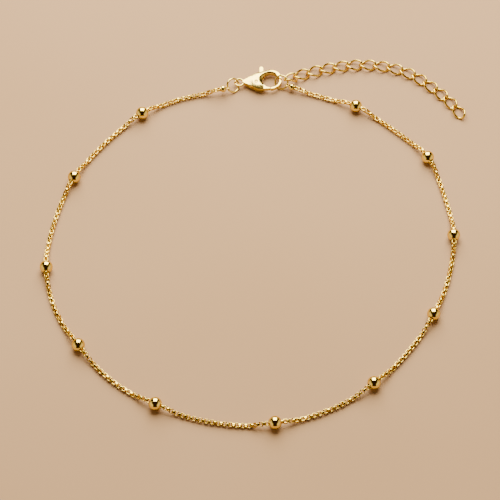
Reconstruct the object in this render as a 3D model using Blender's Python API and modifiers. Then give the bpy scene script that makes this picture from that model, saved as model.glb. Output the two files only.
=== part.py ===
"""A beaded choker, closed and lying flat: one strand of fine box chain with round beads strung on it,
ball end caps, jump rings, a lobster clasp with a spring lever, and an extender of twisted oval links.

Metres, +Z up. The choker lies on the surface z = 0, and the origin is in the middle of its outline."""

import math

import bmesh
import bpy
import numpy as np
from mathutils import Matrix, Vector
from mathutils.geometry import convex_hull_2d

MM = 0.001
WELD = 0.002 * MM  # points nearer than this are one
SHARP_ANGLE = 40.0  # degrees: edges sharper than this are rounded or shown

# Fine chain: a strand of small square links, here its outer form
CHAIN_WIDTH = 1.3 * MM
CHAIN_LEAD = 0.45 * MM  # straight stretch past a bead or a cap
POINTS_BETWEEN = 4  # points of the strand between two beads

# Beads: round, drilled for the chain
BEAD_DIAMETER = 3.6 * MM
BORE_CLEARANCE = 0.12 * MM
BEAD_SIDES = 16
BEAD_STEPS = 9  # of its outline, from bore to bore

# Ball end caps: a blind bore for the chain, and a small eye for the jump ring
CAP_DIAMETER = 2.0 * MM
CAP_BORE_DEPTH = 0.9 * MM
CAP_EYE_RADIUS = 0.6 * MM  # to the middle of its wire
CAP_EYE_WIRE = 0.34 * MM
CAP_EYE_REACH = 1.45 * MM  # from the middle of the ball to the middle of the eye
END_GAP = 0.1 * MM  # between the chain's end and the bottom of the bore
CAP_SIDES = 16
CAP_STEPS = 10
CAP_EYE_SIDES = 6

# Jump rings
RING_RADIUS = 1.95 * MM  # to the middle of the wire
RING_WIRE = 0.56 * MM
RING_SIDES = 24
WIRE_SIDES = 8
LEFT_RING_HEADING = 46.0  # degrees, the level line across the ring
LEFT_RING_TILT = 46.0
LEFT_RING_THREAD = (-0.46 * MM, 0.18 * MM)  # where it passes through the clasp's eye, from the eye's middle
RIGHT_RING_HEADING = -30.0
RIGHT_RING_TILT = 44.0
RIGHT_RING_SHIFT = (0.28 * MM, -0.7 * MM)  # from the middle of the hook's wire to the middle of the ring
LEFT_CAP_ANGLE = 168.0  # degrees round the ring, from its level line
RIGHT_CAP_ANGLE = -6.0
LEFT_CAP_HEADING = 191.0  # the way the chain leaves each cap
RIGHT_CAP_HEADING = -20.0

# Lobster clasp, along its own X axis with the origin in the middle of the hook's round hollow
CLASP_PLACE = (3.8 * MM, 52.2 * MM)
CLASP_HEADING = 3.0
CLASP_THICKNESS = 2.7 * MM
HOLLOW_RADIUS = 2.53 * MM
HOOK_WIDTH = 0.8 * MM
HOOK_RISE = 0.3 * MM  # of the outline's circle over the hollow's: the hook is wide at its root, thin at its tip
HOOK_THICKNESS = 0.75 * MM  # where it is thinnest
HOOK_TAPER_HEADING = -25.0  # degrees, the way the hook grows thinner
SHOULDER = (-2.9 * MM, -0.1 * MM)
SHOULDER_RADIUS = 3.0 * MM
BODY_START = -5.2 * MM  # the body is full thickness from here
BODY_END = -1.5 * MM  # to here, along the hook's taper
NECK_OVERLAP = 0.25 * MM  # the neck's end, past the middle of the eye's wire
NECK_WIDTH = 1.0 * MM
NECK_THICKNESS = 1.2 * MM
EYE_DISTANCE = 9.2 * MM
EYE_RADIUS = 1.2 * MM  # to the middle of its wire
EYE_WIRE = 0.7 * MM
BODY_EDGE = 0.25 * MM  # rounding of its edges
ROUND_STEPS = 36  # straight sides of a full circle
BORE_STEPS = 16
EDGE_STEPS = 2

# The clasp's lever turns on the pin between the body's two cheeks
PIVOT = (-4.3 * MM, -0.6 * MM)
HUB_RADIUS = 1.0 * MM
GATE_REACH = 4.6 * MM  # from the pin to the end of the gate
GATE_CLEARANCE = 0.12 * MM
LEVER_THICKNESS = 1.2 * MM
LEVER_INSET = 0.12 * MM
LEVER_EDGE = 0.12 * MM
CHEEK_END = -2.2 * MM
CHEEK_CLEARANCE = 0.1 * MM
NUB_PLACE = -2.5 * MM
NUB_WIDTH = 1.2 * MM
NUB_TIP = 5.0 * MM
NUB_CLEARANCE = 0.15 * MM
SLOT_ROOM = 0.3 * MM  # behind the lever's hub
PIN_DIAMETER = 0.7 * MM
PIN_CLEARANCE = 0.1 * MM
PIN_RECESS = 0.15 * MM

# Extender: oval wire links, each twisted so that the next lies across it
LINK_COUNT = 15
LINK_LENGTH = 5.4 * MM  # outside
LINK_WIDTH = 3.7 * MM  # outside
LINK_WIRE = 0.62 * MM
LINK_TWIST = 90.0  # degrees from one end to the other
LINK_GAP = 0.16 * MM  # between the wires of linked links
LINK_POINTS = 16
FIRST_LINK_ANGLE = 48.0  # degrees round the right ring, from its level line, where the first link hangs
FIRST_LINK_ROLL = -5.0
FIRST_LINK_DROP = 25.5  # degrees that it slopes down from the ring
FIRST_LINK_HEADING = 40.0
FIRST_STEP_HEADING = 32.4  # the way from the first link's middle to the second's
FIRST_STEP_SLACK = 0.08 * MM

# Places along the strand, in plan: each bead, and a point of the chain before, between and after them
BEAD_PLACES = [
    (-33.6 * MM, 40.7 * MM),
    (-52.4 * MM, 18.8 * MM),
    (-58.9 * MM, -10.7 * MM),
    (-48.9 * MM, -35.0 * MM),
    (-27.6 * MM, -52.7 * MM),
    (4.4 * MM, -58.3 * MM),
    (31.1 * MM, -46.5 * MM),
    (48.1 * MM, -25.5 * MM),
    (54.9 * MM, -0.4 * MM),
    (48.8 * MM, 25.5 * MM),
    (28.6 * MM, 43.2 * MM),
]
BETWEEN_PLACES = [
    (-22.2 * MM, 46.4 * MM),
    (-43.8 * MM, 31.1 * MM),
    (-57.2 * MM, 5.0 * MM),
    (-55.9 * MM, -23.3 * MM),
    (-39.5 * MM, -45.3 * MM),
    (-12.0 * MM, -57.7 * MM),
    (18.5 * MM, -54.2 * MM),
    (40.7 * MM, -36.6 * MM),
    (53.0 * MM, -12.9 * MM),
    (52.9 * MM, 13.4 * MM),
    (39.2 * MM, 35.6 * MM),
    (19.3 * MM, 46.8 * MM),
]

# Places along the extender past its second link, in plan, from the clasp's place
EXTENDER_PLACES = [
    (17.3 * MM, 4.9 * MM),
    (25.4 * MM, 6.1 * MM),
    (33.3 * MM, 5.6 * MM),
    (40.6 * MM, 3.2 * MM),
    (46.8 * MM, -1.3 * MM),
    (52.1 * MM, -6.7 * MM),
    (56.3 * MM, -12.8 * MM),
]

# Colours: polished yellow gold plating
GOLD = (0.86, 0.58, 0.22, 1.0)
PALE_GOLD = (0.90, 0.66, 0.30, 1.0)


def clear_scene():
    for obj in list(bpy.data.objects):
        bpy.data.objects.remove(obj, do_unlink=True)


def new_collection(name):
    collection = bpy.data.collections.new(name)
    bpy.context.scene.collection.children.link(collection)
    return collection


def metal(name, colour, roughness):
    material = bpy.data.materials.new(name)
    material.use_nodes = True
    shader = material.node_tree.nodes["Principled BSDF"]
    shader.inputs["Base Color"].default_value = colour
    shader.inputs["Metallic"].default_value = 1.0
    shader.inputs["Roughness"].default_value = roughness
    return material


def move_to(obj, collection):
    for held in list(obj.users_collection):
        held.objects.unlink(obj)
    collection.objects.link(obj)


def finish_part(obj, name, material):
    """Names a piece, gives it its material and puts it among the parts."""
    obj.name = name
    obj.data.name = name
    obj.data.materials.clear()
    obj.data.materials.append(material)
    move_to(obj, PARTS)


def as_cutter(obj, name):
    obj.name = name
    obj.hide_render = True
    obj.display_type = "WIRE"
    move_to(obj, CUTTERS)
    return obj


def shade_round(mesh):
    mesh.shade_smooth()
    mesh.set_sharp_from_angle(angle=math.radians(SHARP_ANGLE))


def arc(centre, radius, start, end, steps):
    """Points along an arc, its angles in degrees."""
    angles = np.radians(np.linspace(start, end, steps + 1))
    return [(centre[0] + radius * math.cos(a), centre[1] + radius * math.sin(a)) for a in angles]


def circle(centre, radius, steps):
    return arc(centre, radius, 0, 360, steps)[:-1]


def hull_outline(circles):
    """The outline of a band stretched round circles, each given as x, y and radius."""
    points = []
    for x, y, radius in circles:
        points += circle((x, y), radius, ROUND_STEPS)
    return [points[i] for i in convex_hull_2d(points)]


def mesh_from_curve(obj):
    """Turns a curve object into a mesh object in the same place, with its caps welded on."""
    bpy.context.view_layer.update()
    graph = bpy.context.evaluated_depsgraph_get()
    mesh = bpy.data.meshes.new_from_object(obj.evaluated_get(graph))
    shape = bmesh.new()
    shape.from_mesh(mesh)
    bmesh.ops.remove_doubles(shape, verts=shape.verts, dist=WELD)
    bmesh.ops.recalc_face_normals(shape, faces=shape.faces)
    shape.to_mesh(mesh)
    shape.free()
    new = bpy.data.objects.new(obj.name, mesh)
    new.matrix_world = obj.matrix_world.copy()
    bpy.context.scene.collection.objects.link(new)
    bpy.data.objects.remove(obj, do_unlink=True)
    return new


def prism(name, outlines, thickness, upright=False):
    """A plate with the given outlines, half of its thickness on each side of its own middle plane."""
    curve = bpy.data.curves.new(name, "CURVE")
    curve.dimensions = "2D"
    curve.fill_mode = "BOTH"
    curve.extrude = thickness / 2
    for outline in outlines:
        spline = curve.splines.new("POLY")
        spline.points.add(len(outline) - 1)
        for point, (x, y) in zip(spline.points, outline):
            point.co = (x, y, 0, 1)
        spline.use_cyclic_u = True
    obj = bpy.data.objects.new(name, curve)
    bpy.context.scene.collection.objects.link(obj)
    solid = mesh_from_curve(obj)
    if upright:
        solid.data.transform(Matrix.Rotation(math.pi / 2, 4, "X"))
    return solid


def tube(name, points, radius, resolution, cyclic=False):
    curve = bpy.data.curves.new(name, "CURVE")
    curve.dimensions = "3D"
    curve.bevel_depth = radius
    curve.bevel_resolution = resolution
    curve.use_fill_caps = not cyclic
    spline = curve.splines.new("POLY")
    spline.points.add(len(points) - 1)
    for point, place in zip(spline.points, points):
        point.co = (*place, 1)
    spline.use_cyclic_u = cyclic
    return curve


def turned(name, profile, sides):
    """A mesh object whose Screw modifier turns a profile of radius and height round its Z axis."""
    mesh = bpy.data.meshes.new(name)
    edges = [(i, i + 1) for i in range(len(profile) - 1)]
    mesh.from_pydata([(radius, 0, height) for radius, height in profile], edges, [])
    obj = bpy.data.objects.new(name, mesh)
    bpy.context.scene.collection.objects.link(obj)
    screw = obj.modifiers.new("Screw", "SCREW")
    screw.steps = sides
    screw.render_steps = sides
    screw.use_merge_vertices = True
    screw.merge_threshold = 0.00001 * MM
    screw.use_smooth_shade = True
    return obj


def torus(name, radius, wire, around, across):
    bpy.ops.mesh.primitive_torus_add(
        major_radius=radius, minor_radius=wire / 2, major_segments=around, minor_segments=across
    )
    obj = bpy.context.object
    obj.name = name
    obj.data.shade_smooth()
    return obj


def boolean(obj, other, operation):
    modifier = obj.modifiers.new(operation.title(), "BOOLEAN")
    modifier.operation = operation
    modifier.object = other
    modifier.solver = "EXACT"


def apply_modifiers(obj):
    """Replaces an object's mesh by what its modifiers make of it."""
    bpy.context.view_layer.update()
    graph = bpy.context.evaluated_depsgraph_get()
    mesh = bpy.data.meshes.new_from_object(obj.evaluated_get(graph))
    shape = bmesh.new()
    shape.from_mesh(mesh)
    bmesh.ops.remove_doubles(shape, verts=shape.verts, dist=WELD)
    bmesh.ops.dissolve_limit(shape, angle_limit=math.radians(0.5), verts=shape.verts, edges=shape.edges)
    shape.to_mesh(mesh)
    shape.free()
    obj.modifiers.clear()
    obj.data = mesh


def round_edges(obj, width):
    modifier = obj.modifiers.new("Bevel", "BEVEL")
    modifier.width = width
    modifier.segments = EDGE_STEPS
    modifier.limit_method = "ANGLE"
    modifier.angle_limit = math.radians(SHARP_ANGLE)


def smooth_curve(points):
    """A smooth curve through points: place and direction at a distance, and the points' distances."""
    places = np.array(points, float)
    steps = np.linalg.norm(np.diff(places, axis=0), axis=1)
    distances = np.concatenate([[0.0], np.cumsum(steps)])
    slopes = np.gradient(places, distances, axis=0)

    def at(distance):
        if distance > distances[-1]:
            direction = slopes[-1] / np.linalg.norm(slopes[-1])
            return places[-1] + (distance - distances[-1]) * direction, direction
        i = int(np.clip(np.searchsorted(distances, distance) - 1, 0, len(steps) - 1))
        h = steps[i]
        t = (distance - distances[i]) / h
        start, end = places[i], places[i + 1]
        leave, arrive = slopes[i] * h, slopes[i + 1] * h
        bend, swing = 2 * start - 2 * end + leave + arrive, 3 * (end - start) - 2 * leave - arrive
        place = start + t * leave + t * t * swing + t**3 * bend
        direction = leave + 2 * t * swing + 3 * t * t * bend
        return place, direction / np.linalg.norm(direction)

    return at, distances


def level(heading):
    """The level unit vector at an angle in degrees from +X."""
    return Vector((math.cos(math.radians(heading)), math.sin(math.radians(heading)), 0))


def clasp_point(x, y):
    """A point of the clasp's own plane, in the world."""
    turned_place = Matrix.Rotation(math.radians(CLASP_HEADING), 3, "Z") @ Vector((x, y, 0))
    return turned_place + Vector((*CLASP_PLACE, CLASP_THICKNESS / 2))


def ring_frame(heading, tilt):
    """A leaning ring's turn: its level line is its X axis, and its Y axis climbs by the tilt."""
    return Matrix.Rotation(math.radians(heading), 4, "Z") @ Matrix.Rotation(math.radians(tilt), 4, "X")


def ring_height(tilt):
    """The middle of a leaning ring whose lowest point touches the surface."""
    return RING_WIRE / 2 + RING_RADIUS * math.sin(math.radians(tilt))


def left_ring_matrix():
    threads = clasp_point(-EYE_DISTANCE, 0) + Vector((*LEFT_RING_THREAD, 0))
    middle = threads - RING_RADIUS * level(LEFT_RING_HEADING)
    middle.z = ring_height(LEFT_RING_TILT)
    return Matrix.Translation(middle) @ ring_frame(LEFT_RING_HEADING, LEFT_RING_TILT)


def right_ring_matrix():
    middle = clasp_point(HOLLOW_RADIUS + HOOK_WIDTH / 2, 0) + Vector((*RIGHT_RING_SHIFT, 0))
    middle.z = ring_height(RIGHT_RING_TILT)
    return Matrix.Translation(middle) @ ring_frame(RIGHT_RING_HEADING, RIGHT_RING_TILT)


def cap_matrix(ring, angle, heading):
    """A cap whose eye is round the ring's wire at an angle: X runs from its eye to the chain."""
    turn = math.radians(angle)
    held = ring @ Vector((RING_RADIUS * math.cos(turn), RING_RADIUS * math.sin(turn), 0))
    wire_way = ring.to_3x3() @ Vector((-math.sin(turn), math.cos(turn), 0))
    out = level(heading)
    across = (wire_way - out * wire_way.dot(out)).normalized()
    basis = Matrix((out, across.cross(out), across)).transposed().to_4x4()
    return Matrix.Translation(held + out * CAP_EYE_REACH) @ basis


def strand_points(left_cap, right_cap):
    """The chain's points, and each bead's middle and direction.

    The chain runs straight through each bead and cap, and lies on the surface between them."""
    lead = CAP_DIAMETER / 2 + CHAIN_LEAD
    first, last = left_cap.translation, right_cap.translation
    first_out = left_cap.to_3x3() @ Vector((1, 0, 0))
    last_out = right_cap.to_3x3() @ Vector((1, 0, 0))
    route = [first.xy, (first + lead * first_out).xy]
    bead_numbers = []
    for between, bead in zip(BETWEEN_PLACES, BEAD_PLACES):
        bead_numbers.append(len(route) + 1)
        route += [between, bead]
    route += [BETWEEN_PLACES[-1], (last + lead * last_out).xy, last.xy]
    at, distances = smooth_curve([tuple(place) for place in route])

    reach = BEAD_DIAMETER / 2 + CHAIN_LEAD
    low = CHAIN_WIDTH / 2
    stops = [(distances[0], distances[1], first.z)]
    stops += [(distances[n] - reach, distances[n] + reach, BEAD_DIAMETER / 2) for n in bead_numbers]
    stops += [(distances[-2], distances[-1], last.z)]

    bore_end = CAP_DIAMETER / 2 - cap_mouth_depth() - CAP_BORE_DEPTH + END_GAP
    points = []
    beads = []
    for stop, (start, end, height) in enumerate(stops):
        if stop:
            points += [
                (*at(distance)[0], low)
                for distance in np.linspace(points_from, start, POINTS_BETWEEN + 2)[1:-1]
            ]
        points += [(*at(start)[0], height), (*at(end)[0], height)]
        points_from = end
        if 0 < stop < len(stops) - 1:
            a, b = Vector(points[-2]), Vector(points[-1])
            beads.append(((a + b) / 2, (b - a).normalized()))
    points[0] = tuple(first + first_out * bore_end)
    points[-1] = tuple(last + last_out * bore_end)
    return points, beads


def cap_mouth_depth():
    """How far the mouth of a cap's bore lies inside the ball's outline."""
    bore = CHAIN_WIDTH / 2 + BORE_CLEARANCE
    radius = CAP_DIAMETER / 2
    return radius - math.sqrt(radius * radius - bore * bore)


def make_chain(points):
    curve = tube("fine_chain", points, CHAIN_WIDTH / 2, 2)
    chain = bpy.data.objects.new("fine_chain", curve)
    finish_part(chain, "fine_chain", metal("chain_gold", GOLD, 0.25))


def bead_profile():
    """The outside from top to bottom, then the bore back up."""
    bore = CHAIN_WIDTH / 2 + BORE_CLEARANCE
    radius = BEAD_DIAMETER / 2
    edge = math.degrees(math.acos(bore / radius))
    outside = arc((0, 0), radius, edge, -edge, BEAD_STEPS)
    return [*outside, outside[0]]


def make_beads(beads):
    material = metal("bead_gold", PALE_GOLD, 0.06)
    first = turned("bead", bead_profile(), BEAD_SIDES)
    apply_modifiers(first)
    mesh = first.data
    bpy.data.objects.remove(first, do_unlink=True)
    shade_round(mesh)
    mesh.materials.append(material)
    for number, (place, direction) in enumerate(beads, 1):
        bead = bpy.data.objects.new(f"bead_{number:02d}", mesh)
        bead.location = place
        bead.rotation_euler = direction.to_track_quat("Z", "Y").to_euler()
        PARTS.objects.link(bead)


def cap_profile():
    """A ball with a blind bore open at the top: the outside down, then the bore back up."""
    bore = CHAIN_WIDTH / 2 + BORE_CLEARANCE
    radius = CAP_DIAMETER / 2
    edge = math.degrees(math.acos(bore / radius))
    mouth = radius - cap_mouth_depth()
    outside = arc((0, 0), radius, edge, -90, CAP_STEPS)
    outside[-1] = (0, -radius)
    bottom = mouth - CAP_BORE_DEPTH
    return [(0, bottom), (bore, bottom), *outside]


def make_cap(name, matrix, material):
    ball = turned(name, cap_profile(), CAP_SIDES)
    apply_modifiers(ball)
    ball.data.transform(Matrix.Rotation(math.pi / 2, 4, "Y"))
    eye = torus(name + "_eye", CAP_EYE_RADIUS, CAP_EYE_WIRE, CAP_SIDES, CAP_EYE_SIDES)
    eye.data.transform(Matrix.Translation((-CAP_EYE_REACH, 0, 0)))
    boolean(ball, as_cutter(eye, name + "_eye"), "UNION")
    ball.matrix_world = matrix
    eye.matrix_world = matrix
    finish_part(ball, name, material)


def make_ring(name, matrix, material):
    ring = torus(name, RING_RADIUS, RING_WIRE, RING_SIDES, WIRE_SIDES)
    ring.matrix_world = matrix
    finish_part(ring, name, material)


def neck_end():
    """Where the body's neck meets the eye, along the clasp's X axis."""
    return -EYE_DISTANCE + EYE_RADIUS + NECK_OVERLAP


def outer_circles(inset):
    """The circles that the clasp's outline is stretched round, drawn in by an inset."""
    return [
        (neck_end(), 0, NECK_WIDTH / 2 - inset),
        (*SHOULDER, SHOULDER_RADIUS - inset),
        (0, HOOK_RISE, HOLLOW_RADIUS + HOOK_WIDTH - inset),
    ]


def taper(name, thin_end, thin, full_start, heading):
    """A cutter that keeps full thickness on one side of a line and thins the clasp evenly past it."""
    far = math.copysign(3 * SHOULDER_RADIUS, full_start - thin_end)
    half = CLASP_THICKNESS / 2
    upper = [(thin_end, thin / 2), (full_start, half), (full_start + far, half)]
    outline = upper + [(x, -z) for x, z in reversed(upper)]
    cutter = prism(name, [outline], 8 * SHOULDER_RADIUS, upright=True)
    cutter.data.transform(Matrix.Rotation(math.radians(heading), 4, "Z"))
    return as_cutter(cutter, name)


def swing_outline(reach, left, top):
    """The region round the pivot within reach, right of one line and below another."""
    start = -math.degrees(math.acos((left - PIVOT[0]) / reach))
    end = math.degrees(math.asin((top - PIVOT[1]) / reach))
    return arc(PIVOT, reach, start, end, ROUND_STEPS) + [(left, top)]


def hollow_cutter(name):
    return as_cutter(prism(name, [circle((0, 0), HOLLOW_RADIUS, ROUND_STEPS)], 2 * CLASP_THICKNESS), name)


def pin_bore(name):
    outline = circle(PIVOT, PIN_DIAMETER / 2 + PIN_CLEARANCE, BORE_STEPS)
    return as_cutter(prism(name, [outline], 2 * CLASP_THICKNESS), name)


def make_clasp_body(place, material):
    body = prism("clasp_body", [hull_outline(outer_circles(0))], 2 * CLASP_THICKNESS)
    neck_taper = taper("neck_taper", neck_end() - NECK_WIDTH, NECK_THICKNESS, BODY_START, 0)
    hook_end = HOLLOW_RADIUS + HOOK_WIDTH + BODY_EDGE
    hook_taper = taper("hook_taper", hook_end, HOOK_THICKNESS, BODY_END, HOOK_TAPER_HEADING)
    boolean(body, neck_taper, "INTERSECT")
    boolean(body, hook_taper, "INTERSECT")
    boolean(body, hollow_cutter("clasp_hollow"), "DIFFERENCE")
    apply_modifiers(body)
    round_edges(body, BODY_EDGE)
    apply_modifiers(body)

    eye = torus("clasp_eye", EYE_RADIUS, EYE_WIRE, RING_SIDES, WIRE_SIDES)
    eye.data.transform(Matrix.Translation((-EYE_DISTANCE, 0, 0)))
    boolean(body, as_cutter(eye, "clasp_eye"), "UNION")

    reach = GATE_REACH + GATE_CLEARANCE
    opening = prism("gate_opening", [swing_outline(reach, CHEEK_END, PIVOT[1])], 2 * CLASP_THICKNESS)
    boolean(body, as_cutter(opening, "gate_opening"), "DIFFERENCE")

    left = PIVOT[0] - HUB_RADIUS - SLOT_ROOM
    right = NUB_PLACE + NUB_WIDTH / 2 + NUB_CLEARANCE
    top = PIVOT[1] + HUB_RADIUS + SLOT_ROOM
    far = 2 * SHOULDER_RADIUS
    slot_outline = swing_outline(reach, left, top)[:-1] + [(right, top), (right, far), (left, far)]
    slot = prism("lever_slot", [slot_outline], LEVER_THICKNESS + 2 * CHEEK_CLEARANCE)
    boolean(body, as_cutter(slot, "lever_slot"), "DIFFERENCE")
    boolean(body, pin_bore("body_pin_bore"), "DIFFERENCE")
    for cutter in (eye, opening, slot):
        cutter.matrix_world = place
    bpy.data.objects["body_pin_bore"].matrix_world = place
    body.matrix_world = place
    shade_round(body.data)
    finish_part(body, "clasp_body", material)


def make_lever(place, material):
    """The gate, its hub round the pin, and the thumb nub that stands out through the body's far side."""
    reach, left, top = GATE_REACH, PIVOT[0] - HUB_RADIUS, PIVOT[1] + HUB_RADIUS
    lever = prism("clasp_lever", [hull_outline(outer_circles(LEVER_INSET))], LEVER_THICKNESS)
    swing = prism("lever_swing", [swing_outline(reach, left, top)], 2 * LEVER_THICKNESS)
    boolean(lever, as_cutter(swing, "lever_swing"), "INTERSECT")
    half = NUB_WIDTH / 2
    shaft = arc((NUB_PLACE, NUB_TIP - half), half, 0, 180, BORE_STEPS)
    shaft += [(NUB_PLACE - half, PIVOT[1]), (NUB_PLACE + half, PIVOT[1])]
    nub = prism("lever_nub", [shaft], LEVER_THICKNESS)
    boolean(lever, as_cutter(nub, "lever_nub"), "UNION")
    boolean(lever, hollow_cutter("lever_hollow"), "DIFFERENCE")
    apply_modifiers(lever)
    round_edges(lever, LEVER_EDGE)
    apply_modifiers(lever)
    boolean(lever, pin_bore("lever_pin_bore"), "DIFFERENCE")
    apply_modifiers(lever)
    lever.data.transform(Matrix.Translation((-PIVOT[0], -PIVOT[1], 0)))
    lever.matrix_world = place @ Matrix.Translation((*PIVOT, 0))
    finish_part(lever, "clasp_lever", material)


def make_pin(place, material):
    length = CLASP_THICKNESS - 2 * PIN_RECESS
    bpy.ops.mesh.primitive_cylinder_add(vertices=BORE_STEPS, radius=PIN_DIAMETER / 2, depth=length)
    pin = bpy.context.object
    pin.matrix_world = place @ Matrix.Translation((*PIVOT, 0))
    shade_round(pin.data)
    finish_part(pin, "clasp_pin", material)


def make_clasp():
    place = Matrix.Translation((*CLASP_PLACE, CLASP_THICKNESS / 2))
    place = place @ Matrix.Rotation(math.radians(CLASP_HEADING), 4, "Z")
    make_clasp_body(place, metal("clasp_gold", PALE_GOLD, 0.12))
    make_lever(place, metal("lever_gold", PALE_GOLD, 0.12))
    make_pin(place, metal("pin_gold", GOLD, 0.25))


def link_curve():
    """An oval of wire along X, twisted evenly from one end to the other."""
    half_length = (LINK_LENGTH - LINK_WIRE) / 2
    half_width = (LINK_WIDTH - LINK_WIRE) / 2
    points = []
    for angle in np.linspace(0, 2 * math.pi, LINK_POINTS, endpoint=False):
        x = half_length * math.cos(angle)
        y = half_width * math.sin(angle)
        turn = math.radians(LINK_TWIST / 2) * x / half_length
        points.append((x, y * math.cos(turn), y * math.sin(turn)))
    curve = tube("extender_link", points, LINK_WIRE / 2, 1, cyclic=True)
    lowest = min(z for _, _, z in points) - LINK_WIRE / 2
    return curve, -lowest


def first_link_matrix(ring):
    """The first link hangs by one end from the right ring and slopes down to the surface."""
    angle = math.radians(FIRST_LINK_ANGLE)
    held = ring @ Vector((RING_RADIUS * math.cos(angle), RING_RADIUS * math.sin(angle), 0))
    turn = Matrix.Rotation(math.radians(FIRST_LINK_HEADING), 4, "Z")
    turn @= Matrix.Rotation(math.radians(FIRST_LINK_DROP), 4, "Y")
    turn @= Matrix.Rotation(math.radians(FIRST_LINK_ROLL), 4, "X")
    reach = LINK_LENGTH / 2 - LINK_WIRE - RING_WIRE / 2 - LINK_GAP
    return Matrix.Translation(held + turn.to_3x3() @ Vector((reach, 0, 0))) @ turn


def make_extender(ring, material):
    curve, height = link_curve()
    curve.materials.append(material)
    pitch = LINK_LENGTH - 2 * LINK_WIRE - LINK_GAP
    first = first_link_matrix(ring)
    step = pitch * math.cos(math.radians(FIRST_LINK_DROP)) + FIRST_STEP_SLACK
    second = first.translation + step * level(FIRST_STEP_HEADING)
    places = [(CLASP_PLACE[0] + x, CLASP_PLACE[1] + y) for x, y in EXTENDER_PLACES]
    at, _ = smooth_curve([tuple(second.xy), *places])
    for number in range(1, LINK_COUNT + 1):
        link = bpy.data.objects.new(f"extender_link_{number:02d}", curve)
        if number == 1:
            link.matrix_world = first
        else:
            place, direction = at((number - 2) * pitch)
            link.location = (*place, height)
            link.rotation_euler.z = math.atan2(direction[1], direction[0])
        PARTS.objects.link(link)


clear_scene()
PARTS = new_collection("beaded_choker")
CUTTERS = new_collection("cutters")
findings = metal("finding_gold", PALE_GOLD, 0.12)
make_clasp()
left_ring = left_ring_matrix()
right_ring = right_ring_matrix()
make_ring("jump_ring_left", left_ring, findings)
make_ring("jump_ring_right", right_ring, findings)
left_cap_place = cap_matrix(left_ring, LEFT_CAP_ANGLE, LEFT_CAP_HEADING)
right_cap_place = cap_matrix(right_ring, RIGHT_CAP_ANGLE, RIGHT_CAP_HEADING)
make_cap("end_cap_left", left_cap_place, findings)
make_cap("end_cap_right", right_cap_place, findings)
chain_points, bead_places = strand_points(left_cap_place, right_cap_place)
make_chain(chain_points)
make_beads(bead_places)
make_extender(right_ring, metal("link_gold", GOLD, 0.15))
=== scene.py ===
"""The beaded choker as it looks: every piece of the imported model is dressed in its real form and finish.

Metres, +Z up. The choker lies closed on the surface z = 0."""

import math

import bmesh
import bpy
import numpy as np
from mathutils import Matrix, Vector
from mathutils.geometry import convex_hull_2d


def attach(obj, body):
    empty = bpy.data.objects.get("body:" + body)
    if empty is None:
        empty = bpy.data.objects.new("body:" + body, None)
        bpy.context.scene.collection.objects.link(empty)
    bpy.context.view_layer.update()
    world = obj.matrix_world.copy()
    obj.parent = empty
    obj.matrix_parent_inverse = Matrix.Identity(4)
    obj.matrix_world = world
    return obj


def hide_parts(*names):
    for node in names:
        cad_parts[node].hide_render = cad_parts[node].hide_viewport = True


MM = 0.001

# Fine chain: square box links, each turned a quarter from the last
LINK_LENGTH = 1.34 * MM
LINK_WIDTH = 1.32 * MM
STRIP_THICKNESS = 0.25 * MM
STRIP_WIDTH = 0.6 * MM
STRIP_EDGE = 0.08 * MM
LINK_CORNER = 0.27 * MM  # to the middle of the strip
CHAIN_PITCH = 0.82 * MM
CHAIN_LOW = 0.71 * MM  # the strand's middle where it lies
CHAIN_FALL = 5.0 * MM  # over which it comes down from a bead or a cap
CHAIN_LEAD = 0.45 * MM
CHAIN_LEAN = 5.0  # degrees that a link may lean, and turn in its place
CHAIN_TURN = 18.0
CHAIN_SLIP = 0.05 * MM  # that a link may lie off its even place
CHAIN_ROLL = 14.0  # degrees
CHAIN_ROLL_SWING = 9.0
CHAIN_ROLL_LENGTH = 47.0 * MM
CHAIN_SEED = 7

# Beads and caps
BEAD_DIAMETER = 3.6 * MM
BORE_RADIUS = 0.77 * MM
BORE_EDGE = 0.06 * MM
LIP_SHARE = 0.6  # of the bore's edge: how deep it is rounded
CAP_DIAMETER = 2.0 * MM
CAP_BORE_DEPTH = 0.9 * MM
CAP_EYE_RADIUS = 0.6 * MM
CAP_EYE_WIRE = 0.34 * MM
CAP_EYE_REACH = 1.45 * MM
END_GAP = 0.1 * MM

# Jump rings
RING_RADIUS = 1.95 * MM
RING_WIRE = 0.56 * MM
LEFT_RING_HEADING = 46.0
LEFT_RING_TILT = 46.0
LEFT_RING_THREAD = (-0.46 * MM, 0.18 * MM)
RIGHT_RING_HEADING = -30.0
RIGHT_RING_TILT = 44.0
RIGHT_RING_SHIFT = (0.28 * MM, -0.7 * MM)
LEFT_RING_CUT = 100.0  # degrees round the ring to the cut where it was closed
RIGHT_RING_CUT = -100.0
LEFT_CAP_ANGLE = 168.0
RIGHT_CAP_ANGLE = -6.0
LEFT_CAP_HEADING = 191.0
RIGHT_CAP_HEADING = -20.0
CUT_GAP = 0.03 * MM

# Lobster clasp
CLASP_PLACE = (3.8 * MM, 52.2 * MM)
CLASP_HEADING = 3.0
CLASP_THICKNESS = 2.7 * MM
HOLLOW_RADIUS = 2.53 * MM
HOOK_WIDTH = 0.8 * MM
HOOK_RISE = 0.3 * MM
SHOULDER = (-2.9 * MM, -0.1 * MM)
SHOULDER_RADIUS = 3.0 * MM
EYE_DISTANCE = 9.2 * MM
EYE_RADIUS = 1.2 * MM
NECK_OVERLAP = 0.25 * MM
NECK_WIDTH = 1.0 * MM
PIVOT = (-4.3 * MM, -0.6 * MM)
PIN_DIAMETER = 0.7 * MM
PIN_RECESS = 0.15 * MM
PIN_DOME = 0.12 * MM
CASTING_VOXEL = 0.06 * MM
CASTING_PASSES = 14
LEVER_FINENESS = 0.8  # of the body's voxel
LEVER_PASSES = 8
DOME_START = 0.62 * MM  # from the clasp's middle plane: nearer than this it isn't domed
DOME_WIDTH = 3.0 * MM
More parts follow.
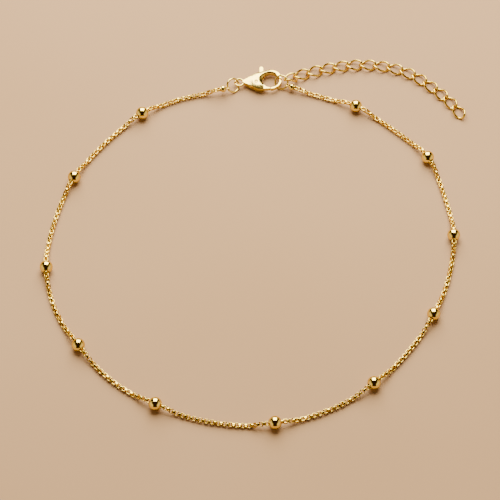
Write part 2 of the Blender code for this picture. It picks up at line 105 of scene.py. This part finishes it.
DOME_DROP = 0.85  # of the thickness above that, at the clasp's outline
RIM_WIDTH = 1.6 * MM  # over which it is domed towards the hollow

# Extender
EXTENDER_COUNT = 15
OVAL_LENGTH = 5.4 * MM
OVAL_WIDTH = 3.7 * MM
OVAL_WIRE = 0.62 * MM
OVAL_TWIST = 90.0
OVAL_GAP = 0.16 * MM
FIRST_OVAL_ANGLE = 48.0
FIRST_OVAL_ROLL = -5.0
FIRST_OVAL_DROP = 25.5
FIRST_OVAL_HEADING = 40.0
FIRST_STEP_HEADING = 32.4
FIRST_STEP_SLACK = 0.08 * MM

# Places along the strand, in plan: each bead, and a point of the chain before, between and after them
BEAD_PLACES = [
    (-33.6 * MM, 40.7 * MM),
    (-52.4 * MM, 18.8 * MM),
    (-58.9 * MM, -10.7 * MM),
    (-48.9 * MM, -35.0 * MM),
    (-27.6 * MM, -52.7 * MM),
    (4.4 * MM, -58.3 * MM),
    (31.1 * MM, -46.5 * MM),
    (48.1 * MM, -25.5 * MM),
    (54.9 * MM, -0.4 * MM),
    (48.8 * MM, 25.5 * MM),
    (28.6 * MM, 43.2 * MM),
]
BETWEEN_PLACES = [
    (-22.2 * MM, 46.4 * MM),
    (-43.8 * MM, 31.1 * MM),
    (-57.2 * MM, 5.0 * MM),
    (-55.9 * MM, -23.3 * MM),
    (-39.5 * MM, -45.3 * MM),
    (-12.0 * MM, -57.7 * MM),
    (18.5 * MM, -54.2 * MM),
    (40.7 * MM, -36.6 * MM),
    (53.0 * MM, -12.9 * MM),
    (52.9 * MM, 13.4 * MM),
    (39.2 * MM, 35.6 * MM),
    (19.3 * MM, 46.8 * MM),
]

# Places along the extender past its second link, in plan, from the clasp's place
EXTENDER_PLACES = [
    (17.3 * MM, 4.9 * MM),
    (25.4 * MM, 6.1 * MM),
    (33.3 * MM, 5.6 * MM),
    (40.6 * MM, 3.2 * MM),
    (46.8 * MM, -1.3 * MM),
    (52.1 * MM, -6.7 * MM),
    (56.3 * MM, -12.8 * MM),
]

# Fineness of the forms: points along them and round them
STRIP_STEPS = 2
BEAD_STEPS = 29
BEAD_SIDES = 56
CAP_STEPS = 25
CAP_SIDES = 48
CAP_EYE_STEPS = 40
CAP_VOXEL = 0.045 * MM
CAP_PASSES = 4
RING_STEPS = 72
RING_SIDES = 18
OVAL_STEPS = 56
WIRE_SIDES = 14
PIN_STEPS = 7
PIN_SIDES = 32
OUTLINE_STEPS = 48
ROUTE_STEP = 0.1 * MM
WELD = 0.0005 * MM  # points nearer than this are one
SHARP_ANGLE = 50.0

# Camera: the photograph's frame of 500 by 500 pixels
CAMERA_ELEVATION = 60.0
FRAME_PIXELS = 500
FOCAL_PIXELS = 1985.6
METRES_PER_PIXEL = 0.28 * MM
CAMERA_TARGET = (-2.25 * MM, -4.25 * MM, 0.0)
SENSOR = 36.0

# Studio: one wide soft light on the far side, and near side walls that end at these sines
KEY_ELEVATION = 48.0
KEY_DISTANCE = 0.6
KEY_WIDTH = 0.6
KEY_HEIGHT = 0.7
KEY_POWER = 16.5
WALL_TOP = (0.74, 0.4)  # sines of elevation where the walls turn dark and are bright
WALL_SIDE = (0.45, 0.62)
WALL_BACK = (0.68, 0.0)

# Surfaces: cells of noise per metre, and the hairline scratches
NOISE_LOW = 0.3
NOISE_HIGH = 0.7
PATCH_SCALE = 420.0
WEAR_SCALE = 1500.0
HAIRLINE_SCALE = 2600.0
HAIRLINE_STRETCH = (1.0, 0.12, 0.3)
HAIRLINE_TURN = (0.3, 0.2, 0.7)
HAIRLINE_DEPTH = 0.004 * MM
CLOUD_SCALE = 9.0
FLOOR_SIZE = 1.6
FLOOR_CELLS = 8

# Colours
GOLD = (0.84, 0.60, 0.11, 1.0)
DEEP_GOLD = (0.70, 0.46, 0.05, 1.0)
PALE_GOLD = (0.92, 0.71, 0.17, 1.0)
EDGE_TINT = (0.75, 0.62, 0.32, 1.0)
FLOOR = (0.485, 0.293, 0.137, 1.0)
FLOOR_WARM = (0.46, 0.273, 0.121, 1.0)
DARK_ROOM = (0.026, 0.012, 0.006, 1.0)
BRIGHT_WALL = (1.2, 0.97, 0.62, 1.0)
KEY_COLOUR = (1.0, 0.97, 0.93)


def circle(radius, steps, start=0.0, end=360.0):
    """Points along a circle in its own plane, without the last one."""
    turns = np.radians(np.linspace(start, end, steps, endpoint=False))
    return np.column_stack([radius * np.cos(turns), radius * np.sin(turns)])


def rounded_box(width, height, corner, steps):
    """The outline of a rectangle with round corners, as an array of points."""
    points = []
    for quarter in range(4):
        side = 1 if quarter in (0, 3) else -1
        top = 1 if quarter in (0, 1) else -1
        turns = np.radians(90 * quarter + np.linspace(0, 90, steps + 1))
        x = side * (width / 2 - corner) + corner * np.cos(turns)
        y = top * (height / 2 - corner) + corner * np.sin(turns)
        points.append(np.column_stack([x, y]))
    return np.vstack(points)


def swept_loop(path, section, cut=0.0):
    """A wire bent to a closed path round the origin: its vertices and faces.

    The section's first coordinate points away from the origin. A cut leaves its two ends that far apart."""
    ahead = np.roll(path, -1, axis=0) - np.roll(path, 1, axis=0)
    ahead /= np.linalg.norm(ahead, axis=1)[:, None]
    outward = path - np.sum(path * ahead, axis=1)[:, None] * ahead
    outward /= np.linalg.norm(outward, axis=1)[:, None]
    across = np.cross(ahead, outward)
    if cut:
        path = np.vstack([path, path[:1]])
        ahead, outward, across = (np.vstack([v, v[:1]]) for v in (ahead, outward, across))
        path[0] += ahead[0] * cut / 2
        path[-1] -= ahead[-1] * cut / 2
    rings, sides = len(path), len(section)
    vertices = path[:, None] + outward[:, None] * section[None, :, :1]
    vertices = vertices + across[:, None] * section[None, :, 1:]
    faces = []
    for ring in range(rings - 1 if cut else rings):
        following = (ring + 1) % rings
        for side in range(sides):
            neighbour = (side + 1) % sides
            faces.append(
                (
                    ring * sides + side,
                    ring * sides + neighbour,
                    following * sides + neighbour,
                    following * sides + side,
                )
            )
    if cut:
        faces.append(tuple(reversed(range(sides))))
        faces.append(tuple((rings - 1) * sides + side for side in range(sides)))
    return vertices.reshape(-1, 3), faces


def turned_form(profile, sides):
    """The vertices and faces of a profile of radius and height turned round the Z axis."""
    vertices = []
    faces = []
    for side in range(sides):
        turn = 2 * math.pi * side / sides
        vertices += [(r * math.cos(turn), r * math.sin(turn), z) for r, z in profile]
    count = len(profile)
    for side in range(sides):
        a, b = side * count, (side + 1) % sides * count
        faces += [(a + i, b + i, b + i + 1, a + i + 1) for i in range(count - 1)]
    return np.array(vertices), faces


def mesh_object(name, vertices, faces, matrix=None):
    """A smooth mesh object whose place is in its vertices."""
    mesh = bpy.data.meshes.new(name)
    mesh.from_pydata([tuple(v) for v in vertices], [], faces)
    shape = bmesh.new()
    shape.from_mesh(mesh)
    bmesh.ops.remove_doubles(shape, verts=shape.verts, dist=WELD)
    bmesh.ops.recalc_face_normals(shape, faces=shape.faces)
    shape.to_mesh(mesh)
    shape.free()
    if matrix is not None:
        mesh.transform(matrix)
    mesh.shade_smooth()
    mesh.set_sharp_from_angle(angle=math.radians(SHARP_ANGLE))
    obj = bpy.data.objects.new(name, mesh)
    bpy.context.scene.collection.objects.link(obj)
    return obj


def dress(piece, node, material, body="choker"):
    """The piece stands for a node of the model, which it hides, moves with its body and takes the given
    material.
    """
    piece.data.materials.clear()
    piece.data.materials.append(material)
    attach(piece, body)
    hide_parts(node)


def apply_modifiers(obj):
    bpy.context.view_layer.update()
    graph = bpy.context.evaluated_depsgraph_get()
    mesh = bpy.data.meshes.new_from_object(obj.evaluated_get(graph))
    obj.modifiers.clear()
    obj.data = mesh


def soften(obj, voxel, passes):
    """Makes one skin of a form and rounds its edges, as casting and polishing do."""
    remesh = obj.modifiers.new("Remesh", "REMESH")
    remesh.mode = "VOXEL"
    remesh.voxel_size = voxel
    smooth = obj.modifiers.new("Smooth", "SMOOTH")
    smooth.iterations = passes
    smooth.factor = 0.5
    apply_modifiers(obj)
    obj.data.shade_smooth()


# Materials


def new_material(name):
    material = bpy.data.materials.new(name)
    material.use_nodes = True
    return material, material.node_tree.nodes, material.node_tree.links


def noise_node(nodes, links, scale, detail, stretch=None):
    """A noise in the piece's own coordinates, its scale in cells per metre."""
    noise = nodes.new("ShaderNodeTexNoise")
    noise.inputs["Scale"].default_value = scale
    noise.inputs["Detail"].default_value = detail
    coordinates = nodes.new("ShaderNodeTexCoord")
    if stretch is None:
        links.new(coordinates.outputs["Object"], noise.inputs["Vector"])
        return noise
    mapping = nodes.new("ShaderNodeMapping")
    mapping.inputs["Scale"].default_value = stretch
    mapping.inputs["Rotation"].default_value = HAIRLINE_TURN
    links.new(coordinates.outputs["Object"], mapping.inputs["Vector"])
    links.new(mapping.outputs["Vector"], noise.inputs["Vector"])
    return noise


def ranged(nodes, links, value, low, high):
    """A noise's usual values spread over a new range."""
    spread = nodes.new("ShaderNodeMapRange")
    spread.inputs["From Min"].default_value = NOISE_LOW
    spread.inputs["From Max"].default_value = NOISE_HIGH
    spread.inputs["To Min"].default_value = low
    spread.inputs["To Max"].default_value = high
    links.new(value, spread.inputs["Value"])
    return spread.outputs["Result"]


def blended(nodes, links, share, first, second):
    """A colour between two, by a share from 0 to 1."""
    mix = nodes.new("ShaderNodeMix")
    mix.data_type = "RGBA"
    mix.inputs["A"].default_value = first
    mix.inputs["B"].default_value = second
    links.new(share, mix.inputs["Factor"])
    return mix.outputs["Result"]


def gold_plating(name, light, dark, gloss, dull, scratch):
    """Polished plating: patches of warmer colour, uneven gloss and hairline scratches."""
    material, nodes, links = new_material(name)
    shader = nodes["Principled BSDF"]
    shader.inputs["Metallic"].default_value = 1.0
    shader.inputs["Specular Tint"].default_value = EDGE_TINT
    patches = noise_node(nodes, links, PATCH_SCALE, 3.0)
    share = ranged(nodes, links, patches.outputs["Fac"], 0.0, 1.0)
    links.new(blended(nodes, links, share, light, dark), shader.inputs["Base Color"])
    wear = noise_node(nodes, links, WEAR_SCALE, 4.0)
    links.new(ranged(nodes, links, wear.outputs["Fac"], gloss, dull), shader.inputs["Roughness"])
    hairlines = noise_node(nodes, links, HAIRLINE_SCALE, 6.0, HAIRLINE_STRETCH)
    bump = nodes.new("ShaderNodeBump")
    bump.inputs["Strength"].default_value = scratch
    bump.inputs["Distance"].default_value = HAIRLINE_DEPTH
    links.new(hairlines.outputs["Fac"], bump.inputs["Height"])
    links.new(bump.outputs["Normal"], shader.inputs["Normal"])
    return material


def floor_material():
    material, nodes, links = new_material("pale_floor")
    shader = nodes["Principled BSDF"]
    shader.inputs["Roughness"].default_value = 0.75
    shader.inputs["Specular IOR Level"].default_value = 0.2
    clouds = noise_node(nodes, links, CLOUD_SCALE, 2.0)
    share = ranged(nodes, links, clouds.outputs["Fac"], 0.0, 1.0)
    links.new(blended(nodes, links, share, FLOOR, FLOOR_WARM), shader.inputs["Base Color"])
    return material


# Placing, as in the model


def level(heading):
    """The level unit vector at an angle in degrees from +X."""
    return Vector((math.cos(math.radians(heading)), math.sin(math.radians(heading)), 0))


def clasp_matrix():
    place = Matrix.Translation((*CLASP_PLACE, CLASP_THICKNESS / 2))
    return place @ Matrix.Rotation(math.radians(CLASP_HEADING), 4, "Z")


def ring_matrix(middle, heading, tilt):
    """A leaning ring whose lowest point touches the surface; its X axis is level."""
    middle.z = RING_WIRE / 2 + RING_RADIUS * math.sin(math.radians(tilt))
    turn = Matrix.Rotation(math.radians(heading), 4, "Z") @ Matrix.Rotation(math.radians(tilt), 4, "X")
    return Matrix.Translation(middle) @ turn


def left_ring_matrix():
    threads = clasp_matrix() @ Vector((-EYE_DISTANCE, 0, 0)) + Vector((*LEFT_RING_THREAD, 0))
    middle = threads - RING_RADIUS * level(LEFT_RING_HEADING)
    return ring_matrix(middle, LEFT_RING_HEADING, LEFT_RING_TILT)


def right_ring_matrix():
    hook = clasp_matrix() @ Vector((HOLLOW_RADIUS + HOOK_WIDTH / 2, 0, 0))
    return ring_matrix(hook + Vector((*RIGHT_RING_SHIFT, 0)), RIGHT_RING_HEADING, RIGHT_RING_TILT)


def on_ring(ring, degrees):
    turn = math.radians(degrees)
    return ring @ Vector((RING_RADIUS * math.cos(turn), RING_RADIUS * math.sin(turn), 0))


def cap_matrix(ring, degrees, heading):
    """A cap whose eye is round the ring's wire at an angle: X runs from its eye to the chain."""
    turn = math.radians(degrees)
    wire_way = ring.to_3x3() @ Vector((-math.sin(turn), math.cos(turn), 0))
    out = level(heading)
    across = (wire_way - out * wire_way.dot(out)).normalized()
    basis = Matrix((out, across.cross(out), across)).transposed().to_4x4()
    return Matrix.Translation(on_ring(ring, degrees) + out * CAP_EYE_REACH) @ basis


def smooth_curve(points):
    """A smooth curve through points: place and direction at a distance, and the points' distances."""
    places = np.array(points, float)
    steps = np.linalg.norm(np.diff(places, axis=0), axis=1)
    distances = np.concatenate([[0.0], np.cumsum(steps)])
    slopes = np.gradient(places, distances, axis=0)

    def at(distance):
        if distance > distances[-1]:
            direction = slopes[-1] / np.linalg.norm(slopes[-1])
            return places[-1] + (distance - distances[-1]) * direction, direction
        i = int(np.clip(np.searchsorted(distances, distance) - 1, 0, len(steps) - 1))
        h = steps[i]
        t = (distance - distances[i]) / h
        start, end = places[i], places[i + 1]
        leave, arrive = slopes[i] * h, slopes[i + 1] * h
        bend, swing = 2 * start - 2 * end + leave + arrive, 3 * (end - start) - 2 * leave - arrive
        place = start + t * leave + t * t * swing + t**3 * bend
        direction = leave + 2 * t * swing + 3 * t * t * bend
        return place, direction / np.linalg.norm(direction)

    return at, distances


def cap_mouth_depth():
    radius = CAP_DIAMETER / 2
    return radius - math.sqrt(radius * radius - BORE_RADIUS * BORE_RADIUS)


def strand_route(left_cap, right_cap):
    """Closely spaced points of the strand from cap to cap, and each bead's middle and direction."""
    lead = CAP_DIAMETER / 2 + CHAIN_LEAD
    bore_end = CAP_DIAMETER / 2 - cap_mouth_depth() - CAP_BORE_DEPTH + END_GAP
    first, last = left_cap.translation, right_cap.translation
    first_out = left_cap.to_3x3() @ Vector((1, 0, 0))
    last_out = right_cap.to_3x3() @ Vector((1, 0, 0))
    route = [first.xy, (first + lead * first_out).xy]
    bead_numbers = []
    for between, bead in zip(BETWEEN_PLACES, BEAD_PLACES):
        bead_numbers.append(len(route) + 1)
        route += [between, bead]
    route += [BETWEEN_PLACES[-1], (last + lead * last_out).xy, last.xy]
    at, distances = smooth_curve([tuple(place) for place in route])

    reach = BEAD_DIAMETER / 2 + CHAIN_LEAD
    stops = [(distances[0], distances[1], first.z)]
    stops += [(distances[n] - reach, distances[n] + reach, BEAD_DIAMETER / 2) for n in bead_numbers]
    stops += [(distances[-2], distances[-1], last.z)]
    sampled = np.arange(distances[0] + bore_end, distances[-1] - bore_end, ROUTE_STEP)
    heights = np.full(len(sampled), CHAIN_LOW)
    for start, end, height in stops:
        away = np.maximum(np.maximum(start - sampled, sampled - end), 0) / CHAIN_FALL
        away = np.minimum(away, 1)
        heights += (height - CHAIN_LOW) * (1 - away * away * (3 - 2 * away))
    plan = np.array([at(distance)[0] for distance in sampled])

    beads = []
    for start, end, height in stops[1:-1]:
        a, b = (Vector((*at(distance)[0], height)) for distance in (start, end))
        beads.append(((a + b) / 2, (b - a).normalized()))
    return np.column_stack([plan, heights]), beads


# Fine chain


def box_link():
    """One box link, a strip bent square: X is along the chain, and along Y it is seen square."""
    length, width = LINK_LENGTH - STRIP_THICKNESS, LINK_WIDTH - STRIP_THICKNESS
    outline = rounded_box(length, width, LINK_CORNER, STRIP_STEPS)
    path = np.column_stack([outline[:, 0], np.zeros(len(outline)), outline[:, 1]])
    return swept_loop(path, rounded_box(STRIP_THICKNESS, STRIP_WIDTH, STRIP_EDGE, STRIP_STEPS))


def make_chain(route, material):
    steps = np.linalg.norm(np.diff(route, axis=0), axis=1)
    distances = np.concatenate([[0.0], np.cumsum(steps)])
    span = distances[-1] - LINK_LENGTH
    count = int(round(span / CHAIN_PITCH)) + 1
    chance = np.random.RandomState(CHAIN_SEED)
    slip = chance.uniform(-1, 1, count) * CHAIN_SLIP
    wanted = LINK_LENGTH / 2 + np.clip(np.linspace(0, span, count) + slip, 0, span)
    places = np.column_stack([np.interp(wanted, distances, route[:, axis]) for axis in range(3)])
    ahead = np.gradient(places, axis=0)
    ahead /= np.linalg.norm(ahead, axis=1)[:, None]
    link_vertices, link_faces = box_link()
    wobble = chance.uniform(-1, 1, (count, 2)) * (CHAIN_TURN, CHAIN_LEAN)
    vertices = []
    faces = []
    for i in range(count):
        forward = Vector(ahead[i])
        side = Vector((0, 0, 1)).cross(forward).normalized()
        basis = Matrix((forward, side, forward.cross(side))).transposed()
        roll = CHAIN_ROLL + CHAIN_ROLL_SWING * math.sin(2 * math.pi * wanted[i] / CHAIN_ROLL_LENGTH)
        roll += 90 * (i % 2) + wobble[i, 0]
        basis @= Matrix.Rotation(math.radians(roll), 3, "X")
        basis @= Matrix.Rotation(math.radians(wobble[i, 1]), 3, "Z")
        start = i * len(link_vertices)
        vertices.append(link_vertices @ np.array(basis).T + places[i])
        faces += [tuple(start + corner for corner in face) for face in link_faces]
    chain = mesh_object("box_chain", np.vstack(vertices), faces)
    dress(chain, "fine_chain", material)


# Beads, caps and rings


def bead_profile():
    """Outside from top to bottom, the bore's rounded lip, and back up the bore."""
    radius = BEAD_DIAMETER / 2
    lip = BORE_RADIUS + BORE_EDGE
    edge = math.acos(lip / radius)
    turns = np.linspace(edge, -edge, BEAD_STEPS)
    outside = [(radius * math.cos(a), radius * math.sin(a)) for a in turns]
    height = outside[0][1] - BORE_EDGE * LIP_SHARE
    return [*outside, (BORE_RADIUS, -height), (BORE_RADIUS, height), outside[0]]


def make_beads(beads, material):
    form = turned_form(bead_profile(), BEAD_SIDES)
    for number, (place, direction) in enumerate(beads, 1):
        matrix = Matrix.Translation(place) @ direction.to_track_quat("Z", "Y").to_matrix().to_4x4()
        bead = mesh_object(f"round_bead_{number:02d}", *form, matrix)
        dress(bead, f"bead_{number:02d}", material)


def cap_profile():
    radius = CAP_DIAMETER / 2
    edge = math.acos(BORE_RADIUS / radius)
    turns = np.linspace(edge, -math.pi / 2, CAP_STEPS)
    outside = [(radius * math.cos(a), radius * math.sin(a)) for a in turns]
    bottom = radius - cap_mouth_depth() - CAP_BORE_DEPTH
    return [(0, bottom), (BORE_RADIUS, bottom), *outside]


def make_cap(name, node, matrix, material):
    """A drilled ball with a small wire eye, its joint softened as solder leaves it."""
    vertices, faces = turned_form(cap_profile(), CAP_SIDES)
    vertices = np.column_stack([vertices[:, 2], vertices[:, 1], -vertices[:, 0]])
    eye_path = np.column_stack([circle(CAP_EYE_RADIUS, CAP_EYE_STEPS), np.zeros(CAP_EYE_STEPS)])
    eye_vertices, eye_faces = swept_loop(eye_path, circle(CAP_EYE_WIRE / 2, WIRE_SIDES))
    eye_vertices[:, 0] -= CAP_EYE_REACH
    faces = faces + [tuple(corner + len(vertices) for corner in face) for face in eye_faces]
    cap = mesh_object(name, np.vstack([vertices, eye_vertices]), faces)
    soften(cap, CAP_VOXEL, CAP_PASSES)
    cap.data.transform(matrix)
    dress(cap, node, material)


def make_ring(name, node, matrix, cut_angle, material):
    """A jump ring, its ends closed to a fine cut."""
    turn = circle(RING_RADIUS, RING_STEPS, cut_angle, cut_angle + 360)
    path = np.column_stack([turn, np.zeros(RING_STEPS)])
    ring = mesh_object(name, *swept_loop(path, circle(RING_WIRE / 2, RING_SIDES), CUT_GAP), matrix)
    dress(ring, node, material)


# Clasp


def clasp_outline():
    """The outline stretched round the clasp's neck, shoulder and hook."""
    circles = [
        (-EYE_DISTANCE + EYE_RADIUS + NECK_OVERLAP, 0, NECK_WIDTH / 2),
        (*SHOULDER, SHOULDER_RADIUS),
        (0, HOOK_RISE, HOLLOW_RADIUS + HOOK_WIDTH),
    ]
    points = []
    for x, y, radius in circles:
        points += [(x + dx, y + dy) for dx, dy in circle(radius, OUTLINE_STEPS)]
    return np.array([points[i] for i in convex_hull_2d(points)])


def depth_inside(outline, places):
    """How far places in a plane lie from a closed outline."""
    following = np.roll(outline, -1, axis=0)
    depth = np.full(len(places), np.inf)
    for start, end in zip(outline, following):
        along = end - start
        share = np.clip((places - start) @ along / (along @ along), 0, 1)
        depth = np.minimum(depth, np.linalg.norm(places - start - share[:, None] * along, axis=1))
    return depth


def cast_copy(name, node):
    """A copy of a part of the clasp with rounded edges, and domed towards its outline and the hollow."""
    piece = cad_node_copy(name, node)
    soften(piece, CASTING_VOXEL, CASTING_PASSES)
    place = clasp_matrix()
    piece.data.transform(place.inverted())
    count = len(piece.data.vertices)
    co = np.zeros(count * 3)
    piece.data.vertices.foreach_get("co", co)
    co = co.reshape(-1, 3)
    from_outline = depth_inside(clasp_outline(), co[:, :2]) / DOME_WIDTH
    from_hollow = (np.linalg.norm(co[:, :2], axis=1) - HOLLOW_RADIUS) / RIM_WIDTH
    share = np.clip(np.minimum(from_outline, from_hollow), 0, 1)
    keep = 1 - DOME_DROP * (1 - share) ** 2
    height = np.abs(co[:, 2])
    domed = np.where(height > DOME_START, DOME_START + (height - DOME_START) * keep, height)
    co[:, 2] = np.sign(co[:, 2]) * domed
    piece.data.vertices.foreach_set("co", co.ravel())
    piece.data.transform(place)
    piece.data.update()
    return piece


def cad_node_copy(name, node):
    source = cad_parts[node]
    piece = bpy.data.objects.new(name, source.data.copy())
    bpy.context.scene.collection.objects.link(piece)
    return piece


def make_clasp(gold, pin_gold):
    body = cast_copy("cast_clasp_body", "clasp_body")
    dress(body, "clasp_body", gold)
    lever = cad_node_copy("cast_clasp_lever", "clasp_lever")
    soften(lever, CASTING_VOXEL * LEVER_FINENESS, LEVER_PASSES)
    dress(lever, "clasp_lever", gold, "lever")
    half = CLASP_THICKNESS / 2 - PIN_RECESS
    radius = PIN_DIAMETER / 2
    turns = np.linspace(math.pi / 2, 0, PIN_STEPS)
    dome = [(radius * math.cos(a), half - PIN_DOME * (1 - math.sin(a))) for a in turns]
    profile = dome + [(r, -z) for r, z in reversed(dome)]
    matrix = clasp_matrix() @ Matrix.Translation((*PIVOT, 0))
    pin = mesh_object("riveted_pin", *turned_form(profile, PIN_SIDES), matrix)
    dress(pin, "clasp_pin", pin_gold)


# Extender


def oval_form():
    """An oval of wire along X, twisted evenly from one end to the other, and its height when it lies."""
    half_length = (OVAL_LENGTH - OVAL_WIRE) / 2
    half_width = (OVAL_WIDTH - OVAL_WIRE) / 2
    angles = np.linspace(-math.pi / 2, 1.5 * math.pi, OVAL_STEPS, endpoint=False)
    x = half_length * np.cos(angles)
    y = half_width * np.sin(angles)
    turn = math.radians(OVAL_TWIST / 2) * x / half_length
    path = np.column_stack([x, y * np.cos(turn), y * np.sin(turn)])
    height = OVAL_WIRE / 2 - path[:, 2].min()
    return swept_loop(path, circle(OVAL_WIRE / 2, WIRE_SIDES), CUT_GAP), height


def first_oval_matrix(ring):
    """The first link hangs by one end from the right ring and slopes down to the surface."""
    turn = Matrix.Rotation(math.radians(FIRST_OVAL_HEADING), 4, "Z")
    turn @= Matrix.Rotation(math.radians(FIRST_OVAL_DROP), 4, "Y")
    turn @= Matrix.Rotation(math.radians(FIRST_OVAL_ROLL), 4, "X")
    reach = OVAL_LENGTH / 2 - OVAL_WIRE - RING_WIRE / 2 - OVAL_GAP
    held = on_ring(ring, FIRST_OVAL_ANGLE)
    return Matrix.Translation(held + turn.to_3x3() @ Vector((reach, 0, 0))) @ turn


def make_extender(ring, material):
    form, height = oval_form()
    pitch = OVAL_LENGTH - 2 * OVAL_WIRE - OVAL_GAP
    first = first_oval_matrix(ring)
    step = pitch * math.cos(math.radians(FIRST_OVAL_DROP)) + FIRST_STEP_SLACK
    second = first.translation + step * level(FIRST_STEP_HEADING)
    places = [(CLASP_PLACE[0] + x, CLASP_PLACE[1] + y) for x, y in EXTENDER_PLACES]
    at, _ = smooth_curve([tuple(second.xy), *places])
    for number in range(1, EXTENDER_COUNT + 1):
        matrix = first
        if number > 1:
            place, direction = at((number - 2) * pitch)
            heading = math.atan2(direction[1], direction[0])
            matrix = Matrix.Translation((*place, height)) @ Matrix.Rotation(heading, 4, "Z")
        oval = mesh_object(f"twisted_link_{number:02d}", *form, matrix)
        dress(oval, f"extender_link_{number:02d}", material)


# Studio


def make_floor():
    bpy.ops.mesh.primitive_grid_add(size=FLOOR_SIZE, x_subdivisions=FLOOR_CELLS, y_subdivisions=FLOOR_CELLS)
    floor = bpy.context.object
    floor.name = "floor"
    floor.data.materials.append(floor_material())


def make_key_light():
    data = bpy.data.lights.new("key", "AREA")
    data.shape = "RECTANGLE"
    data.size = KEY_WIDTH
    data.size_y = KEY_HEIGHT
    data.energy = KEY_POWER
    data.color = KEY_COLOUR
    light = bpy.data.objects.new("key", data)
    tilt = math.radians(KEY_ELEVATION)
    light.location = KEY_DISTANCE * Vector((0, math.cos(tilt), math.sin(tilt)))
    light.rotation_euler = (-light.location).to_track_quat("-Z", "Y").to_euler()
    bpy.context.scene.collection.objects.link(light)


def make_world():
    """A dark room with two low bright walls at the sides, on the near half."""
    world = bpy.data.worlds.new("studio")
    world.use_nodes = True
    nodes, links = world.node_tree.nodes, world.node_tree.links
    direction = nodes.new("ShaderNodeTexCoord")
    parts = nodes.new("ShaderNodeSeparateXYZ")
    links.new(direction.outputs["Generated"], parts.inputs["Vector"])
    sideways = nodes.new("ShaderNodeMath")
    sideways.operation = "ABSOLUTE"
    links.new(parts.outputs["X"], sideways.inputs[0])
    share = None
    ends = (
        (parts.outputs["Z"], WALL_TOP),
        (sideways.outputs[0], WALL_SIDE),
        (parts.outputs["Y"], WALL_BACK),
    )
    for value, (dark, bright) in ends:
        spread = nodes.new("ShaderNodeMapRange")
        spread.interpolation_type = "SMOOTHSTEP"
        spread.inputs["From Min"].default_value = dark
        spread.inputs["From Max"].default_value = bright
        links.new(value, spread.inputs["Value"])
        if share is None:
            share = spread.outputs["Result"]
            continue
        product = nodes.new("ShaderNodeMath")
        product.operation = "MULTIPLY"
        links.new(share, product.inputs[0])
        links.new(spread.outputs["Result"], product.inputs[1])
        share = product.outputs[0]
    colour = blended(nodes, links, share, DARK_ROOM, BRIGHT_WALL)
    links.new(colour, nodes["Background"].inputs["Color"])
    bpy.context.scene.world = world


def make_camera():
    data = bpy.data.cameras.new("camera")
    data.sensor_width = SENSOR
    data.lens = FOCAL_PIXELS * SENSOR / FRAME_PIXELS
    data.clip_start = 0.01
    camera = bpy.data.objects.new("camera", data)
    tilt = math.radians(CAMERA_ELEVATION)
    away = Vector((0, -math.cos(tilt), math.sin(tilt)))
    camera.location = Vector(CAMERA_TARGET) + away * FOCAL_PIXELS * METRES_PER_PIXEL
    camera.rotation_euler = (math.pi / 2 - tilt, 0, 0)
    bpy.context.scene.collection.objects.link(camera)
    bpy.context.scene.camera = camera


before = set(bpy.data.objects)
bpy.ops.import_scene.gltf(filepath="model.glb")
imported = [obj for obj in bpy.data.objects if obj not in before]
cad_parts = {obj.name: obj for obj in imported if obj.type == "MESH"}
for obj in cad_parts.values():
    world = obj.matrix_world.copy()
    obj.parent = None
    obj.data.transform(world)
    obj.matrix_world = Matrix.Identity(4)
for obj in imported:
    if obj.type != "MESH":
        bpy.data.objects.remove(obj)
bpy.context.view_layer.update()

chain_gold = gold_plating("chain_gold", GOLD, DEEP_GOLD, 0.06, 0.15, 0.12)
bead_gold = gold_plating("bead_gold", PALE_GOLD, GOLD, 0.03, 0.09, 0.06)
finding_gold = gold_plating("finding_gold", PALE_GOLD, GOLD, 0.07, 0.17, 0.12)
clasp_gold = gold_plating("clasp_gold", PALE_GOLD, GOLD, 0.10, 0.24, 0.25)
link_gold = gold_plating("link_gold", GOLD, DEEP_GOLD, 0.14, 0.26, 0.12)

left_ring = left_ring_matrix()
right_ring = right_ring_matrix()
left_cap = cap_matrix(left_ring, LEFT_CAP_ANGLE, LEFT_CAP_HEADING)
right_cap = cap_matrix(right_ring, RIGHT_CAP_ANGLE, RIGHT_CAP_HEADING)
strand, bead_seats = strand_route(left_cap, right_cap)
make_chain(strand, chain_gold)
make_beads(bead_seats, bead_gold)
make_cap("ball_cap_left", "end_cap_left", left_cap, finding_gold)
make_cap("ball_cap_right", "end_cap_right", right_cap, finding_gold)
make_ring("round_ring_left", "jump_ring_left", left_ring, LEFT_RING_CUT, finding_gold)
make_ring("round_ring_right", "jump_ring_right", right_ring, RIGHT_RING_CUT, finding_gold)
make_clasp(clasp_gold, finding_gold)
make_extender(right_ring, link_gold)

make_floor()
make_key_light()
make_world()
make_camera()
